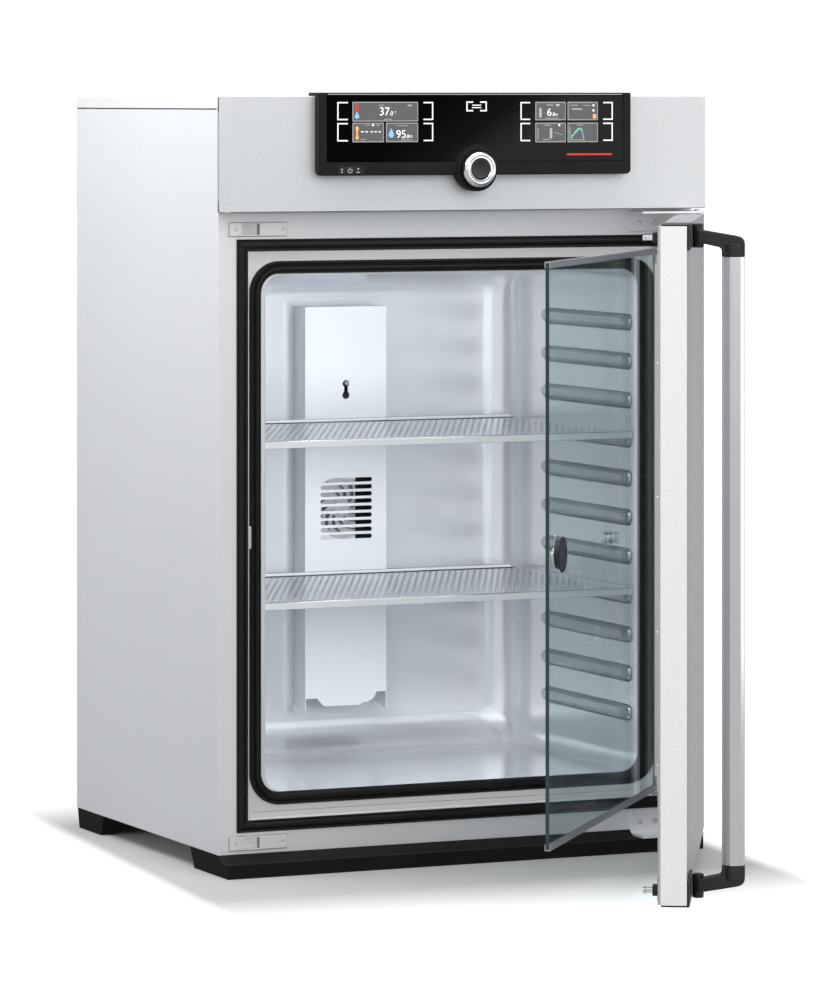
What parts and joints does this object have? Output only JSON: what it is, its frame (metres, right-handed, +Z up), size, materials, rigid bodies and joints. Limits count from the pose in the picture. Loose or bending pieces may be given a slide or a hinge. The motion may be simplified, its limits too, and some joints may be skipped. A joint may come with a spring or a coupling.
{
  "type": "laboratory incubator",
  "caption": "Insulated stainless laboratory incubator with a heated chamber, an inner glass door, a latched outer door, sliding shelves and a control header.",
  "frame": {"origin": "on the floor, under the middle of the cabinet's front frame plane, on the underside of the front plinth", "axes": "+X to the right seen from the front, +Y to the back of the cabinet, +Z up"},
  "size_m": [0.7219, 1.2295, 1.0544],
  "materials": {
    "linen_steel": "stainless sheet with a fine linen-pattern texture",
    "frame_steel": "brushed stainless sheet",
    "chamber_steel": "fine ground stainless sheet, bright",
    "bright_steel": "polished steel",
    "black_plastic": "fine grained moulding",
    "gloss_black": "glossy black panel",
    "gasket_rubber": "extruded silicone seal, smooth",
    "satin_aluminium": "satin anodised",
    "door_glass": "tinted toughened glass",
    "mineral_wool": "pressed mineral fibre",
    "heater_foil": "film heater",
    "circuit_board": "solder resist"
  },
  "bodies": {
    "cabinet": {"left_side_panel": "linen_steel", "right_side_panel": "linen_steel", "top_cover": "linen_steel", "rear_panel": "linen_steel", "base_panel": "frame_steel", "front_frame": "frame_steel", "header_housing": "linen_steel", "chamber_liner": "chamber_steel", "chamber_heater": "heater_foil", "cabinet_insulation": "mineral_wool", "outer_gasket": "gasket_rubber", "chamber_gasket": "gasket_rubber", "fan_cover": "chamber_steel", "fan_motor": "satin_aluminium", "gas_probe": "black_plastic", "chamber_port_plug": "bright_steel", "upper_keeper": "frame_steel", "lower_keeper": "frame_steel", "glass_strike": "bright_steel", "upper_hinge_bracket": "bright_steel", "lower_hinge_bracket": "bright_steel", "upper_door_pin": "bright_steel", "lower_door_pin": "bright_steel", "glass_upper_pivot": "bright_steel", "glass_lower_pivot": "bright_steel", "control_bezel": "gloss_black", "screen_glass": "gloss_black", "display_module": "gloss_black", "control_board": "circuit_board", "power_supply": "satin_aluminium", "gas_valve": "satin_aluminium", "gas_inlet": "bright_steel", "mains_inlet": "black_plastic", "front_plinth": "black_plastic", "front_left_foot": "black_plastic", "front_right_foot": "black_plastic", "rear_foot_bar": "black_plastic"},
    "outer_door": {"door_outer_panel": "linen_steel", "door_inner_panel": "chamber_steel", "door_insulation": "mineral_wool", "door_heater": "heater_foil", "upper_corner_cap": "black_plastic", "lower_corner_cap": "black_plastic"},
    "handle": {"handle_tube": "satin_aluminium", "upper_handle_arm": "black_plastic", "lower_handle_arm": "black_plastic"},
    "upper_latch": {"upper_latch_hook": "bright_steel"},
    "lower_latch": {"lower_latch_hook": "bright_steel"},
    "glass_door": {"glass_pane": "door_glass", "glass_top_rail": "bright_steel", "glass_bottom_rail": "bright_steel"},
    "glass_latch": {"glass_latch_knob": "black_plastic", "glass_latch_tongue": "bright_steel"},
    "control_knob": {"knob_ring": "bright_steel"},
    "knob_push_button": {"knob_button": "black_plastic"},
    "upper_shelf": {"upper_shelf": "chamber_steel"},
    "lower_shelf": {"lower_shelf": "chamber_steel"},
    "fan": {"fan_impeller": "satin_aluminium"}
  },
  "joints": [
    {"name": "outer_door_hinge", "type": "hinge", "parent": "cabinet", "child": "outer_door", "pos_m": [0.3522, -0.0324, 0.4575], "axis": [0, 0, 1], "range_deg": [-60.23, 64.77]},
    {"name": "glass_door_hinge", "type": "hinge", "parent": "cabinet", "child": "glass_door", "pos_m": [0.3031, 0.0068, 0.4575], "axis": [0, 0, 1], "range_deg": [-49.67, 53.5]},
    {"name": "handle_turn", "type": "hinge", "parent": "outer_door", "child": "handle", "pos_m": [0.0578, -0.58656, 0.4575], "axis": [0, 0, 1], "range_deg": [-30, 0]},
    {"name": "upper_latch_turn", "type": "hinge", "parent": "outer_door", "child": "upper_latch", "pos_m": [0.00644, -0.59981, 0.8695], "axis": [0, 0, 1], "range_deg": [0, 20]},
    {"name": "lower_latch_turn", "type": "hinge", "parent": "outer_door", "child": "lower_latch", "pos_m": [0.00644, -0.59981, 0.0424], "axis": [0, 0, 1], "range_deg": [0, 20]},
    {"name": "glass_latch_turn", "type": "hinge", "parent": "glass_door", "child": "glass_latch", "pos_m": [-0.07667, -0.44486, 0.4585], "axis": [-0.7623, 0.6472, 0], "range_deg": [-90, 0]},
    {"name": "control_knob_turn", "type": "hinge", "parent": "cabinet", "child": "control_knob", "pos_m": [0, -0.0635, 0.9498], "axis": [0, -1, 0], "continuous": true},
    {"name": "control_knob_push", "type": "slide", "parent": "control_knob", "child": "knob_push_button", "axis": [0, 1, 0], "range_m": [0, 0.0015]},
    {"name": "upper_shelf_slide", "type": "slide", "parent": "cabinet", "child": "upper_shelf", "axis": [0, -1, 0], "range_m": [0, 0.04]},
    {"name": "lower_shelf_slide", "type": "slide", "parent": "cabinet", "child": "lower_shelf", "axis": [0, -1, 0], "range_m": [0, 0.04]},
    {"name": "fan_spin", "type": "hinge", "parent": "cabinet", "child": "fan", "pos_m": [0, 0.4, 0.456], "axis": [0, 1, 0], "continuous": true}
  ],
  "couplings": [
    {"joint": "glass_door_hinge", "follows": "outer_door_hinge", "ratio": 0.8246},
    {"joint": "upper_latch_turn", "follows": "handle_turn", "ratio": -0.66},
    {"joint": "lower_latch_turn", "follows": "handle_turn", "ratio": -0.66}
  ]
}
